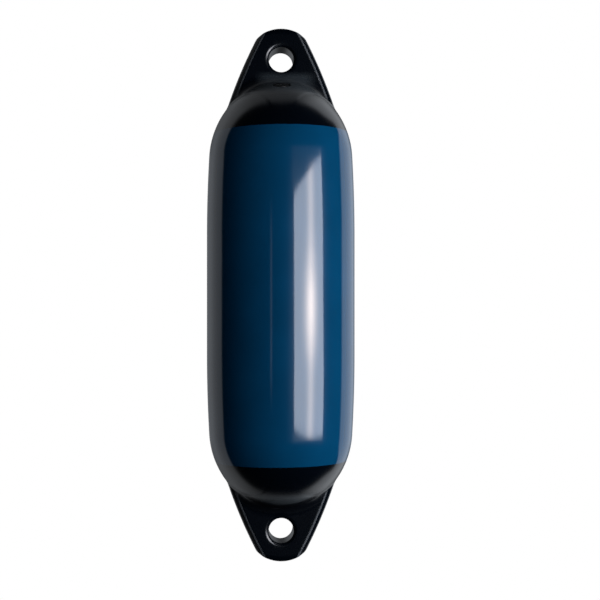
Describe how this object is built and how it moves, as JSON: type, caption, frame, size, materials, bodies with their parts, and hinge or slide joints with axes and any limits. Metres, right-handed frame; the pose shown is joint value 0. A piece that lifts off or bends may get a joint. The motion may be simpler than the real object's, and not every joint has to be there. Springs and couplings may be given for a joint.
{
  "type": "boat fender",
  "caption": "Inflated cylindrical boat fender, navy with black ends, with a flat rope eye at each end and an inflation valve at the foot of the upper eye.",
  "frame": {"origin": "middle of the fender, on its axis and halfway along its length", "axes": "+Z along the fender, up as it hangs; -Y out of the flat front face of both rope eyes, on the side with the valve; +X across the eyes, to the right seen from the front"},
  "size_m": [0.126, 0.126, 0.45],
  "materials": {
    "fender_pvc": "glossy soft PVC, navy in the middle, black at both ends",
    "valve_nylon": "satin moulded nylon",
    "seal_rubber": "matt rubber",
    "plug_nylon": "satin moulded nylon"
  },
  "bodies": {
    "root": {"fender_body": "fender_pvc", "valve_insert": "valve_nylon", "plug_seal": "seal_rubber", "valve_plug": "plug_nylon"}
  },
  "joints": []
}
